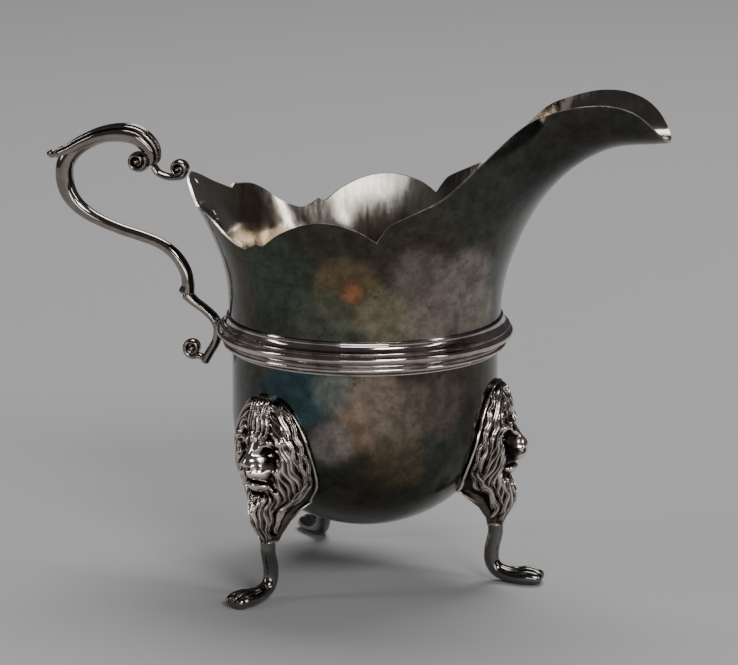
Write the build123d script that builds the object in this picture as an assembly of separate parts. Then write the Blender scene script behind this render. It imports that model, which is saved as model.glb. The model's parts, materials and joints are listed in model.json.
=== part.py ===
"""Silver cream jug on three lion-mask legs, in millimetres.

The body axis is Z and the table is the plane Z = 0. The spout points along +X and the handle along -X.
Every piece is a sheet or a casting of its own. Lapped sheets have a thin film of solder between them,
and castings are cut to sit flush on what they are soldered to.
"""

import os
from math import cos, pi, radians, sin, sqrt

from build123d import *

os.makedirs("parts", exist_ok=True)

# ---------------------------------------------------------------- driving dimensions
# sheet body
sheet = 0.7               # thickness of the raised sheet
solder_film = 0.05        # gap that the solder fills in a lap
bowl_radius = 33.2        # outside of the straight lower wall
bowl_bottom = 14.0        # underside of the bowl above the table
round_depth = 29.0        # height of the rounded bottom
wall_height = 16.0        # straight wall from there up to the girdle moulding
lap = 6.0                 # how far the upper body reaches down over the bowl

# girdle moulding
girdle_height = 8.4
girdle_bead = 3.05        # how far its main bead stands out from the upper body
girdle_reed = 1.45        # the same for the small reed below the bead
girdle_edge = 2.3         # the same for the sharp edge above the bead

# upper body and spout
bend_radius = 44.55       # the spout's underside bends round a line this far in front of the wall
spout_rise = 2.9          # extra bend radius where the underside is highest
spout_drop = 1.4          # how much of that is lost again towards the lip
spout_half_width = 15.0   # channel of the spout where it leaves the body
lip_half_width = 11.0     # channel at the lip
lip_reach = 42.05         # lip beyond the front wall
lip_rise = 54.2           # lip above the girdle's lower edge
back_flare = 12.4         # how far the back wall leans out at the height of the handle
side_flare = 3.2          # how far each side wall leans out towards the spout's shoulders
scallop_rise = 5.6        # height of the side scallop above its two ends

# legs and lion masks
mask_half_width = 12.6    # lion mask, across the mane
mask_height = 37.8        # top of the mane above the bowl's bottom
mask_relief = 3.8         # how far the face stands out from the wall
mask_wall = 1.5           # thickness of the hollow casting behind the mane
nose_relief = 8.3         # the same for the tip of the nose
beard_rise = 0.9          # beard's tip above the bowl's bottom
shank = 3.8               # diameter of the leg
paw_reach = 12.8          # toes beyond the bowl's wall
paw_half_width = 3.5
rear_leg_angle = 122.0    # rear legs, from the spout's direction

# handle
bar_thick = 4.6           # bar where it turns at the back
bar_thin = 2.8            # bar at its thinnest
bar_end = 4.3             # flared lower end of the bar
leaf_half_width = 3.4     # fluted leaf over the crest
strip_half_width = 1.9    # small scrolls, half of their width across the jug
eye_radius = 1.25         # boss in the middle of each scroll

# places that follow from those
shoulder = bowl_bottom + round_depth
girdle_low = shoulder + wall_height
lap_low = girdle_low + 1.4
lap_high = lap_low + lap
upper_radius = bowl_radius + solder_film + sheet   # outside of the upper body at the girdle
bend_x = upper_radius + bend_radius
bend_z = girdle_low + 8.0


ROUND = 0.5523   # handle length of a curve that is a quarter of an ellipse; more makes its corner fuller


# ---------------------------------------------------------------- helpers
def xz(point):
    return Vector(point[0], 0, point[1])


def polyline_xz(points):
    return [Edge.make_line(xz(a), xz(b)) for a, b in zip(points, points[1:])]


def arc_xz(a, b, c):
    return Edge.make_three_point_arc(xz(a), xz(b), xz(c))


def spline_xz(points):
    return Edge.make_spline([xz(p) for p in points])


def smoothstep(value, low, high):
    """0 below low and 1 above high, with a soft start and end."""
    t = min(1.0, max(0.0, (value - low) / (high - low)))
    return t * t * (3 - 2 * t)


def revolved(edges):
    return Solid.revolve(Face(Wire(edges)), 360, Axis.Z)


def half_oval(centre, forward, across, reach, half_width, fullness=ROUND):
    """Half an oval in two curves, from one flank round the forward end to the other flank."""
    tip = centre + forward * reach
    curves = []
    for side in (-1, 1):
        flank = centre + across * (side * half_width)
        flank_handle = flank + forward * (reach * fullness)
        tip_handle = tip + across * (side * half_width * fullness)
        points = [flank, flank_handle, tip_handle, tip]
        curves.append(Edge.make_bezier(*(points if side < 0 else points[::-1])))
    return curves


def oval_wire(centre, forward, across, reach, back_reach, half_width, fullness=ROUND):
    front = half_oval(centre, forward, across, reach, half_width)
    back = half_oval(centre, forward * -1, across * -1, back_reach, half_width, fullness)
    return Wire(front + back)


def refined(stations):
    """The same curve with a station added between every two, so that a loft runs evenly."""
    dense = []
    last = len(stations) - 1
    for i in range(last):
        near = zip(stations[max(i - 1, 0)], stations[i], stations[i + 1], stations[min(i + 2, last)])
        dense += [stations[i], tuple((9 * (b + c) - a - d) / 16 for a, b, c, d in near)]
    return dense + [stations[last]]


def bar(stations, grow=0.0):
    """A bar with oval sections along a curve in the XZ plane.

    Each station gives X, Z, half the thickness in that plane and half the width along Y.
    """
    wires = []
    dense = refined(stations)
    for i, (x, z, thick, wide) in enumerate(dense):
        x0, z0 = dense[max(i - 1, 0)][:2]
        x1, z1 = dense[min(i + 1, len(dense) - 1)][:2]
        out = Vector(-(z1 - z0), 0, x1 - x0).normalized()
        wires.append(oval_wire(Vector(x, 0, z), out, Vector(0, 1, 0), thick + grow, thick + grow, wide + grow))
    return Solid.make_loft(wires)


def spiral(eye, radii, angles, count, thick, wide):
    """Stations of a bar that winds in around an eye. Every pair gives a start and an end value."""
    stations = []
    for i in range(count):
        t = i / (count - 1)
        radius, angle, half_thick, half_wide = [a + (b - a) * t for a, b in (radii, angles, thick, wide)]
        x = eye[0] + radius * cos(radians(angle))
        z = eye[1] + radius * sin(radians(angle))
        stations.append((x, z, half_thick, half_wide))
    return stations


def ellipsoid(centre, radii):
    return scale(Sphere(1), by=radii).solid().moved(Location(centre))


def eye_boss(eye, half_width):
    """The round boss in the middle of a scroll."""
    return ellipsoid((eye[0], 0, eye[1]), (eye_radius, half_width, eye_radius))


# ---------------------------------------------------------------- bowl
def bowl_plug(inset, top):
    """The bowl as a full plug: quarter ellipse below, straight wall above."""
    radius = bowl_radius - inset
    depth = round_depth - inset
    steps = [radians(a) for a in range(0, 91, 10)]
    points = [Vector(radius * sin(a), 0, shoulder - depth * cos(a)) for a in steps]
    curve = Edge.make_spline(points, tangents=[Vector(1, 0, 0), Vector(0, 0, 1)])
    rest = [(radius, shoulder), (radius, top), (0, top), (0, shoulder - depth)]
    return revolved([curve] + polyline_xz(rest))


bowl = bowl_plug(0, lap_high) - bowl_plug(sheet, lap_high)


# ---------------------------------------------------------------- upper body with spout
def fan_wire(fan, inset):
    """Section of the upper body in a plane through the bend line, tilted up by fan degrees.

    It is half a circle towards the spout's underside and half an oval towards the handle.
    """
    tilt = radians(fan)
    front = bend_radius + spout_rise * smoothstep(fan, 20, 68) - spout_drop * smoothstep(fan, 68, 84)
    channel = spout_half_width - (spout_half_width - lip_half_width) * smoothstep(fan, 66, 84)
    widened = upper_radius + side_flare * smoothstep(fan, 4, 30)
    half_width = widened - (widened - channel) * smoothstep(fan, 34.5, 62)
    lean = back_flare * (min(fan, 24) / 16) ** 2.6
    back = (bend_x + upper_radius + lean) / cos(radians(min(fan, 24)))
    fullness = ROUND + 0.09 * smoothstep(fan, 3, 15)
    along = Vector(-cos(tilt), 0, sin(tilt))
    centre = Vector(bend_x, 0, bend_z) + along * (front + half_width)
    reach = half_width - inset
    back_reach = back - front - half_width - inset
    return oval_wire(centre, along * -1, Vector(0, 1, 0), reach, back_reach, half_width - inset, fullness)


def body_plug(inset):
    """The upper body as a full plug, from the lap to well above the rim."""
    fans = [0, 3, 6, 9, 12, 15, 18, 22, 27, 32, 37, 41, 45, 49, 53, 57, 61, 65, 69, 73, 77, 81, 85, 90]
    flared = Solid.make_loft([fan_wire(fan, inset) for fan in fans])
    collar = Solid.extrude(Face(fan_wire(0, inset)), Vector(0, 0, lap_low - bend_z))
    return flared.fuse(collar)


def behind(reach, rise):
    """A point beyond the back wall, and above the girdle's lower edge."""
    return (-upper_radius - reach, girdle_low + rise)


def ahead(reach, rise):
    """A point beyond the front wall, and above the girdle's lower edge."""
    return (upper_radius + reach, girdle_low + rise)


rim_peak = behind(12.2, 43.3)      # the handle is soldered here
rim_notch = behind(4.9, 36.0)
rim_step = behind(4.6, 36.9)
rim_point = behind(-14.4, 31.1)
rim_dip = behind(-16.2, 30.7)
rim_cusp = ahead(-23.0, 33.1)
lip_tip = ahead(lip_reach, lip_rise)

scallop = []
for i in range(9):
    t = i / 8
    x = rim_dip[0] + (rim_cusp[0] - rim_dip[0]) * t
    z = rim_dip[1] + (rim_cusp[1] - rim_dip[1]) * t + scallop_rise * sin(pi * t) ** 0.8
    scallop.append((x, z))

rim_curves = [
    spline_xz([behind(28.0, 59.0), behind(20.0, 51.2), rim_peak, behind(7.9, 38.5), rim_notch]),
    Edge.make_line(xz(rim_notch), xz(rim_step)),
    spline_xz([rim_step, behind(2.9, 36.5), behind(0.9, 36.0), behind(-1.8, 34.3), behind(-5.3, 31.4),
               behind(-10.5, 29.1), rim_point]),
    spline_xz([rim_point, behind(-15.3, 30.6), rim_dip]),
    spline_xz(scallop),
    spline_xz([rim_cusp, ahead(-21.2, 35.8), ahead(-19.3, 37.7), ahead(-13.5, 40.5), ahead(-7.4, 43.7),
               ahead(0.2, 50.8), ahead(7.2, 57.9), ahead(11.0, 60.7), ahead(15.1, 62.4), ahead(20.3, 63.9),
               ahead(25.0, 64.5), ahead(29.5, 64.3), ahead(34.2, 62.8), ahead(lip_reach - 4.4, lip_rise + 5.9),
               ahead(lip_reach - 1.9, lip_rise + 2.6), ahead(lip_reach - 0.6, lip_rise + 0.6), lip_tip]),
]
outside = [
    lip_tip,
    ahead(lip_reach, lip_rise - 8),
    ahead(lip_reach + 40, lip_rise - 8),
    ahead(lip_reach + 40, lip_rise + 180),
    behind(120.0, lip_rise + 180),
    behind(120.0, 59.0),
    behind(28.0, 59.0),
]
rim_face = Face(Wire(rim_curves + polyline_xz(outside)))
rim_cutter = Solid.extrude(rim_face.moved(Location((0, -100, 0))), Vector(0, 200, 0))

body_outside = body_plug(0)
upper_body = body_outside - body_plug(sheet) - rim_cutter


# ---------------------------------------------------------------- girdle moulding
girdle_bore = upper_radius + solder_film


def girdle_point(stand_out, height):
    return (girdle_bore + stand_out, girdle_low + height)


girdle_curves = [
    arc_xz(girdle_point(-0.2, 0.2), girdle_point(girdle_reed, 1.5), girdle_point(0.9, 2.3)),
    arc_xz(girdle_point(0.9, 2.3), girdle_point(girdle_bead, 4.4), girdle_point(1.9, 5.6)),
    arc_xz(girdle_point(1.9, 5.6), girdle_point(girdle_edge, 5.8), girdle_point(2.1, 6.1)),
    arc_xz(girdle_point(2.1, 6.1), girdle_point(1.0, 6.8), girdle_point(0.7, 8.0)),
]
girdle_curves += polyline_xz([
    girdle_point(0.7, 8.0),
    girdle_point(0.55, girdle_height),
    girdle_point(0.0, girdle_height),
    (girdle_bore, lap_low - solder_film),
    (bowl_radius + solder_film, lap_low - solder_film),
    (bowl_radius + solder_film, girdle_low),
    girdle_point(-0.2, 0.0),
    girdle_point(-0.2, 0.2),
])
girdle_moulding = revolved(girdle_curves)


# ---------------------------------------------------------------- legs and lion masks
def bowl_radius_at(z):
    """Outside radius of the bowl at a height."""
    below = max(0.0, shoulder - z)
    return bowl_radius * sqrt(max(0.0, 1 - (below / round_depth) ** 2))


def mask_wire(rise, half_width, relief, back):
    """Level section of the mask: flat back, short flank, then half an oval over the face.

    Rise is above the bowl's bottom. Relief and back are measured from the bowl's straight wall.
    """
    z = bowl_bottom + rise
    rear = bowl_radius - back
    flank = max(rear, sqrt(max(1.0, bowl_radius_at(z) ** 2 - half_width**2))) + 0.7
    left = Vector(flank, -half_width, z)
    right = Vector(flank, half_width, z)
    rear_left = Vector(rear, -half_width, z)
    rear_right = Vector(rear, half_width, z)
    reach = bowl_radius + relief - flank
    face = half_oval(Vector(flank, 0, z), Vector(1, 0, 0), Vector(0, 1, 0), reach, half_width)
    corners = [right, rear_right, rear_left, left]
    return Wire(face + [Edge.make_line(a, b) for a, b in zip(corners, corners[1:])])


mask_sections = [
    # rise, half width, relief, depth of the flat back
    (beard_rise, 2.2, 2.3, 1.3),
    (3.2, 3.7, 2.9, 1.4),
    (6.1, 4.8, 4.5, 3.1),
    (8.9, 5.7, 5.0, 6.6),
    (11.5, 7.6, 4.4, 10.0),
    (15.3, mask_half_width - 1.4, mask_relief - 0.4, 11.0),
    (19.5, mask_half_width, mask_relief, 11.0),
    (24.0, mask_half_width - 0.1, mask_relief, 11.0),
    (28.5, mask_half_width - 1.1, mask_relief - 0.2, 9.0),
    (33.0, mask_half_width - 3.5, mask_relief - 0.6, 7.0),
    (36.0, mask_half_width - 6.3, 2.6, 5.0),
    (mask_height, 3.0, 1.1, 3.0),
]
mask = Solid.make_loft([mask_wire(*section) for section in mask_sections])
hollow_wires = [
    mask_wire(rise, half_width - mask_wall, relief - mask_wall, back + 1)
    for rise, half_width, relief, back in mask_sections[5:-2]
]
mask_hollow = Solid.make_loft(hollow_wires)


def face_lump(relief, y, rise, radii):
    return ellipsoid((bowl_radius + relief, y, bowl_bottom + rise), radii)


face_lumps = [
    face_lump(mask_relief - 1.0, 0, 22.0, (5.2, 4.0, 3.6)),    # muzzle
    face_lump(nose_relief - 2.0, 0, 22.6, (2.0, 2.0, 1.6)),    # nose
    face_lump(mask_relief - 0.2, 0, 15.9, (3.2, 3.0, 1.5)),    # lower lip
    face_lump(mask_relief - 1.3, 0, 31.5, (1.9, 1.5, 4.6)),    # forelock
]
for side in (-1, 1):
    face_lumps += [
        face_lump(mask_relief - 0.6, side * 3.4, 20.4, (2.9, 2.4, 2.4)),   # cheek
        face_lump(mask_relief - 1.4, side * 4.6, 27.0, (2.4, 3.0, 1.5)),   # brow
    ]
for lump in face_lumps:
    mask = mask.fuse(lump)
mask = mask - mask_hollow

leg_stations = [
    # X, Z, half height, half width
    (bowl_radius + 0.4, bowl_bottom + beard_rise, shank / 2, shank / 2),
    (bowl_radius + 0.4, bowl_bottom + beard_rise - 1.2, shank / 2, shank / 2),
    (bowl_radius + 0.4, bowl_bottom + beard_rise - 2.4, shank / 2, shank / 2),
    (bowl_radius + 0.0, bowl_bottom + beard_rise - 4.2, shank / 2, shank / 2),
    (bowl_radius - 0.5, 8.0, shank / 2, shank / 2),
    (bowl_radius - 0.4, 5.2, shank / 2, shank / 2),
    (bowl_radius + 0.9, 3.1, shank / 2, shank / 2 + 0.1),
    (bowl_radius + 3.4, 2.1, shank / 2, shank / 2 + 0.5),
    (bowl_radius + 6.2, 1.8, 2.1, paw_half_width - 0.3),
    (bowl_radius + paw_reach - 4.0, 1.9, 2.3, paw_half_width),
    (bowl_radius + paw_reach - 1.3, 1.6, 2.0, paw_half_width - 0.3),
    (bowl_radius + paw_reach, 1.0, 0.9, paw_half_width - 1.4),
]
under_table = Solid.make_box(200, 200, 20, Plane(origin=(-100, -100, -20)))
leg = bar(leg_stations) - under_table
mask = mask - bowl_plug(0, lap_high)

leg_angles = {"front": 0.0, "left": rear_leg_angle, "right": -rear_leg_angle}


# ---------------------------------------------------------------- handle
thick = bar_thick / 2
thin = bar_thin / 2
end = bar_end / 2
scroll_stations = [
    (*behind(22.3, 48.4), 1.5, 1.5),
    (*behind(24.7, 50.4), 1.7, 1.7),
    (*behind(28.5, 51.2), 1.8, 1.8),
    (*behind(32.9, 50.8), 1.9, 1.9),
    (*behind(37.3, 49.3), 2.0, 2.0),
    (*behind(41.2, 46.7), thick - 0.1, thick - 0.1),
    (*behind(43.5, 43.3), thick, thick),
    (*behind(43.8, 39.2), thick, thick),
    (*behind(42.6, 35.2), thick - 0.2, thick - 0.2),
    (*behind(39.6, 31.8), thick - 0.5, thick - 0.5),
    (*behind(35.0, 29.1), thin + 0.1, thin + 0.1),
    (*behind(29.2, 26.9), thin, thin),
    (*behind(23.2, 25.2), thin, thin),
    (*behind(18.4, 23.4), thin, thin),
    (*behind(14.8, 20.6), thin + 0.1, thin + 0.2),
    (*behind(12.5, 17.0), end - 0.6, end - 0.4),
    (*behind(11.8, 13.6), end - 0.5, end - 0.2),
    (*behind(12.2, 11.0), end, end),
]
handle_scroll = bar(scroll_stations)

leaf_stations = [
    (*behind(48.5, 45.5), 0.3, 0.3),
    (*behind(46.8, 45.6), 1.0, 1.2),
    (*behind(44.9, 45.8), 1.5, 2.0),
    (*behind(42.2, 46.9), 1.7, 2.6),
    (*behind(38.6, 48.9), 1.9, leaf_half_width - 0.4),
    (*behind(34.0, 50.8), 2.1, leaf_half_width),
    (*behind(29.0, 51.6), 2.4, leaf_half_width),
    (*behind(24.6, 51.0), 2.5, leaf_half_width),
    (*behind(21.4, 48.5), 2.4, leaf_half_width - 0.2),
    (*behind(20.2, 45.8), 1.8, leaf_half_width - 0.6),
    (*behind(20.6, 43.6), 1.0, leaf_half_width - 1.2),
]
leaf_eye = behind(24.3, 44.7)
volute = spiral(leaf_eye, (2.5, 1.7), (30, -290), 12, (0.9, 0.75), (leaf_half_width - 0.9, leaf_half_width - 0.4))
handle_leaf = bar(leaf_stations).fuse(bar(volute), eye_boss(leaf_eye, leaf_half_width))
handle_leaf = handle_leaf - bar(scroll_stations, solder_film)

rim_scroll_line = [
    (*behind(20.3, 43.2), 0.8, strip_half_width),
    (*behind(19.1, 41.7), 0.8, strip_half_width),
    (*behind(16.6, 40.8), 0.8, strip_half_width),
]
rim_eye = behind(13.8, 43.0)
rim_curl = spiral(rim_eye, (2.1, 1.5), (-90, 230), 11, (0.75, 0.6), (strip_half_width, strip_half_width + 0.2))
rim_scroll = bar(rim_scroll_line + rim_curl).fuse(eye_boss(rim_eye, strip_half_width + 0.4))
rim_scroll = rim_scroll - handle_leaf - body_outside

bracket_stations = [
    (*behind(12.2, 11.3), 1.6, 2.0),
    (*behind(10.2, 9.2), 1.25, 2.0),
    (*behind(7.6, 7.4), 1.15, 2.0),
    (*behind(5.0, 5.0), 1.3, 2.1),
    (*behind(4.05, 2.4), 1.25, 2.0),
    (*behind(4.6, -0.8), 1.15, 1.9),
    (*behind(6.3, -3.8), 1.15, 1.8),
    (*behind(7.7, -6.4), 1.1, 1.6),
]
handle_bracket = bar(bracket_stations) - handle_scroll - girdle_moulding

curl_root = [(*behind(7.0, -4.6), 0.65, 1.3), (*behind(8.3, -5.0), 0.75, 1.4)]
curl_eye = behind(10.7, -2.8)
curl = spiral(curl_eye, (2.25, 1.5), (-60, -370), 11, (0.75, 0.6), (1.5, 1.8))
bracket_curl = bar(curl_root + curl).fuse(eye_boss(curl_eye, strip_half_width + 0.2)) - handle_bracket


# ---------------------------------------------------------------- write the pieces
nodes = {
    "bowl": bowl,
    "upper_body": upper_body,
    "girdle_moulding": girdle_moulding,
    "handle_scroll": handle_scroll,
    "handle_leaf": handle_leaf,
    "rim_scroll": rim_scroll,
    "handle_bracket": handle_bracket,
    "bracket_curl": bracket_curl,
}
for name, angle in leg_angles.items():
    nodes[f"lion_mask_{name}"] = mask.rotate(Axis.Z, angle)
    nodes[f"leg_{name}"] = leg.rotate(Axis.Z, angle)

for name, shape in nodes.items():
    print(f"{name:18s} solids {len(shape.solids())}  volume {shape.volume:8.1f} mm3")
    export_step(shape, f"parts/{name}.step")
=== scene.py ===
# %% [markdown]
# # A silver cream jug on lion-mask legs
# The jug is raised from sheet silver. Its handle, moulding, masks and legs are cast and soldered on.
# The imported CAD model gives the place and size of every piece, and each piece here is laid over its CAD node
# with the detail that a caster, chaser and polisher would give it. One unit is one metre.

# %% load the frame
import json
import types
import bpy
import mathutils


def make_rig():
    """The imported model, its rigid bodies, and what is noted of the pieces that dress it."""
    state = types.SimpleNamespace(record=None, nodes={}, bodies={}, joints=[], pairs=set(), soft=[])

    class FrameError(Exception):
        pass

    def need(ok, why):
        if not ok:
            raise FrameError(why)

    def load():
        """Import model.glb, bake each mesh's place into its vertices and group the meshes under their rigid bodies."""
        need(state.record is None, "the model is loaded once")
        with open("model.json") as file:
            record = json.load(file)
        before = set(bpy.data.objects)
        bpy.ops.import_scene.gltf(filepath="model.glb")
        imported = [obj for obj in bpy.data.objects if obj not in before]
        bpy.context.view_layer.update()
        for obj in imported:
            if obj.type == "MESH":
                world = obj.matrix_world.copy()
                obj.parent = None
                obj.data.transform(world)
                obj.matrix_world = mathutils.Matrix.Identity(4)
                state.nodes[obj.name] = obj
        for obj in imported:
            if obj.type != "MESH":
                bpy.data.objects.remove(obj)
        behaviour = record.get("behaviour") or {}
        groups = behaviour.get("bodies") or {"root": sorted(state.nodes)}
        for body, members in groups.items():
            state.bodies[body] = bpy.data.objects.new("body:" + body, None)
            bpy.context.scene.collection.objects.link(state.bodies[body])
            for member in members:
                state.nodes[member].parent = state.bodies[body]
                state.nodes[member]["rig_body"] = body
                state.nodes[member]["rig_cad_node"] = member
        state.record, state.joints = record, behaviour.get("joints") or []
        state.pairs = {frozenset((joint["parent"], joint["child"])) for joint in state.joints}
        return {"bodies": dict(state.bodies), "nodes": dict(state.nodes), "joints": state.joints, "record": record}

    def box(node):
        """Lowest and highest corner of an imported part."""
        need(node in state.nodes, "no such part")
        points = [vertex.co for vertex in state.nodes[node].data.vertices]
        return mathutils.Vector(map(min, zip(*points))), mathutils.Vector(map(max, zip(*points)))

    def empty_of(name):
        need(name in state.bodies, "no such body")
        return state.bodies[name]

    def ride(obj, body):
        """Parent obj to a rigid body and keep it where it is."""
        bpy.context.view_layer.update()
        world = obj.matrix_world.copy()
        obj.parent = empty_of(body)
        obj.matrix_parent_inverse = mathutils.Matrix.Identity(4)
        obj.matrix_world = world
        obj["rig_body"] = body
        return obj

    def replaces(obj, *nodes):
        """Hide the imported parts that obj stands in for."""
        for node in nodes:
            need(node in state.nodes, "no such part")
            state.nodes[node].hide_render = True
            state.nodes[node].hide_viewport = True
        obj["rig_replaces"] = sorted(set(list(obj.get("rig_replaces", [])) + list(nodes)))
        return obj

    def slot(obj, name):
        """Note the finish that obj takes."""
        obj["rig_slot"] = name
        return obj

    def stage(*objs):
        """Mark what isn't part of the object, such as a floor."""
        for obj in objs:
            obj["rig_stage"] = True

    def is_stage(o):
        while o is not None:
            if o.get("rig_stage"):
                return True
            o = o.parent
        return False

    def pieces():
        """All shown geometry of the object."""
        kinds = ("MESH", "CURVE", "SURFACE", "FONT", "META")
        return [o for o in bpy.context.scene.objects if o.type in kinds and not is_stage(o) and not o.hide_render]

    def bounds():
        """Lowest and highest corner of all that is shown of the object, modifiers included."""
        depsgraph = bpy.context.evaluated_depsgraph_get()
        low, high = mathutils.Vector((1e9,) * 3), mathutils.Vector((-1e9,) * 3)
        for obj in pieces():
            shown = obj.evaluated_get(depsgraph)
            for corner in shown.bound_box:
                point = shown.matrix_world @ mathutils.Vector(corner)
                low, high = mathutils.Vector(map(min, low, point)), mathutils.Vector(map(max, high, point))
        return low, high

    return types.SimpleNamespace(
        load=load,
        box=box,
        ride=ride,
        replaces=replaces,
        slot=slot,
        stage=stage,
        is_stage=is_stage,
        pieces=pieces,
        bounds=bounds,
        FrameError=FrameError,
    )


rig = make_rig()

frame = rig.load()

import json
from math import atan2, cos, degrees, hypot, pi, radians, sin

import bpy
import numpy as np
from mathutils import Vector, noise

cad_box = [list(corner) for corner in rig.bounds()]
MM = 0.001
scene = bpy.context.scene
print("nodes:", ", ".join(sorted(frame["nodes"])))

# %% [markdown]
# ## Sizes that the CAD nodes give
# A node's box tells where the piece is. The bowl's box gives the bottom and the radius of the round body, and
# the moulding's box the seam between bowl and upper body. Everything below is worked out from these, in
# millimetres, which suit the size of the work.

# %% places of the main pieces
bowl_low, bowl_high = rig.box("bowl")
girdle_low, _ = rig.box("girdle_moulding")
BOWL_RADIUS = bowl_high.x / MM
BOWL_BOTTOM = bowl_low.z / MM
GIRDLE_LOW = girdle_low.z / MM
LAP_HIGH = bowl_high.z / MM
ROUND_DEPTH = 29.0    # height of the rounded bottom
SHOULDER = BOWL_BOTTOM + ROUND_DEPTH
SHEET = 0.7
UPPER_RADIUS = BOWL_RADIUS + SHEET + 0.05   # the upper body laps over the bowl with a film of solder between
BEND_RADIUS = 44.55   # how tightly the front wall bends forward into the spout
BEND_X = UPPER_RADIUS + BEND_RADIUS
BEND_Z = GIRDLE_LOW + 8.0
print(f"bowl radius {BOWL_RADIUS:.1f}, bottom {BOWL_BOTTOM:.1f}, seam {GIRDLE_LOW:.1f} mm")


# %% [markdown]
# ## Helpers
# Three moves come back for most pieces: lay a grid of points over a shape, close the seam where its two edges
# meet, and hand the finished piece over to the body it rides on. A grid primitive is a good start for raised
# sheet and for sculpted relief, because its rows and columns can follow the metal.

# %% helper: selection, seams and modifiers
def start_clean():
    """Leaves edit mode and selects nothing, so that the next operator meets only its own piece."""
    if bpy.context.object and bpy.context.object.mode != "OBJECT":
        bpy.ops.object.mode_set(mode="OBJECT")
    bpy.ops.object.select_all(action="DESELECT")


def choose(piece):
    start_clean()
    piece.select_set(True)
    bpy.context.view_layer.objects.active = piece


def close_seams(piece, gap=0.002):
    """Merges the points that lie on each other and turns all faces outwards."""
    choose(piece)
    bpy.ops.object.mode_set(mode="EDIT")
    bpy.ops.mesh.select_all(action="SELECT")
    bpy.ops.mesh.remove_doubles(threshold=gap * MM)
    bpy.ops.mesh.normals_make_consistent(inside=False)
    bpy.ops.object.mode_set(mode="OBJECT")


def add_modifier(piece, kind, **settings):
    """Adds a modifier, sets it and applies it at once."""
    choose(piece)
    modifier = piece.modifiers.new(kind.title(), kind)
    for key, value in settings.items():
        setattr(modifier, key, value)
    bpy.ops.object.modifier_apply(modifier=modifier.name)


def grid_piece(name, points):
    """A grid primitive laid over rows and columns of points, given in millimetres."""
    rows, columns = points.shape[:2]
    start_clean()
    bpy.ops.mesh.primitive_grid_add(x_subdivisions=columns - 1, y_subdivisions=rows - 1, size=1)
    piece = bpy.context.object
    piece.name = name
    piece.data.name = name
    piece.data.vertices.foreach_set("co", (points * MM).reshape(-1))
    piece.data.update()
    return piece


def shade(piece, angle=40):
    choose(piece)
    bpy.ops.object.shade_smooth_by_angle(angle=radians(angle))


def hand_over(piece, node, slot, *materials):
    """Gives the piece its finish and lets it stand for its CAD node."""
    for material in materials:
        piece.data.materials.append(material)
    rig.ride(piece, "root")
    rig.replaces(piece, node)
    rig.slot(piece, slot)
    print(f"{piece.name}: {len(piece.data.polygons)} faces")


# %% helper: smooth lines through a few points
def smooth_line(points, steps=12):
    """A smooth curve through the points, with that many steps between two of them."""
    points = np.array(points, float)
    if len(points) == 2:
        return np.linspace(points[0], points[1], steps + 1)
    ends = np.vstack([2 * points[0] - points[1], points, 2 * points[-1] - points[-2]])
    line = []
    for a, b, c, d in zip(ends, ends[1:], ends[2:], ends[3:]):
        for step in range(steps):
            t = step / steps
            line.append((2 * b + (c - a) * t + (2 * a - 5 * b + 4 * c - d) * t**2
                         + (3 * b - a - 3 * c + d) * t**3) / 2)
    return np.array(line + [points[-1]])


def soft_step(value, low, high):
    """0 below low and 1 above high, with a soft start and end."""
    t = np.clip((value - low) / (high - low), 0, 1)
    return t * t * (3 - 2 * t)


def turned(points, angle):
    """A grid of points turned about the axis of the jug."""
    x, y, z = (points[:, :, i] for i in range(3))
    return np.stack([x * cos(angle) - y * sin(angle), x * sin(angle) + y * cos(angle), z], -1)


# %% [markdown]
# ## The finishes
# Old silver is not one colour. It tarnishes through straw, brown, plum and blue-green to nearly black, the
# worn high places stay bright, and the hollows of a casting hold dark oxide. Each finish below is metallic,
# with its patches and its fine scratches mixed from noise in the piece's own coordinates.

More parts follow.
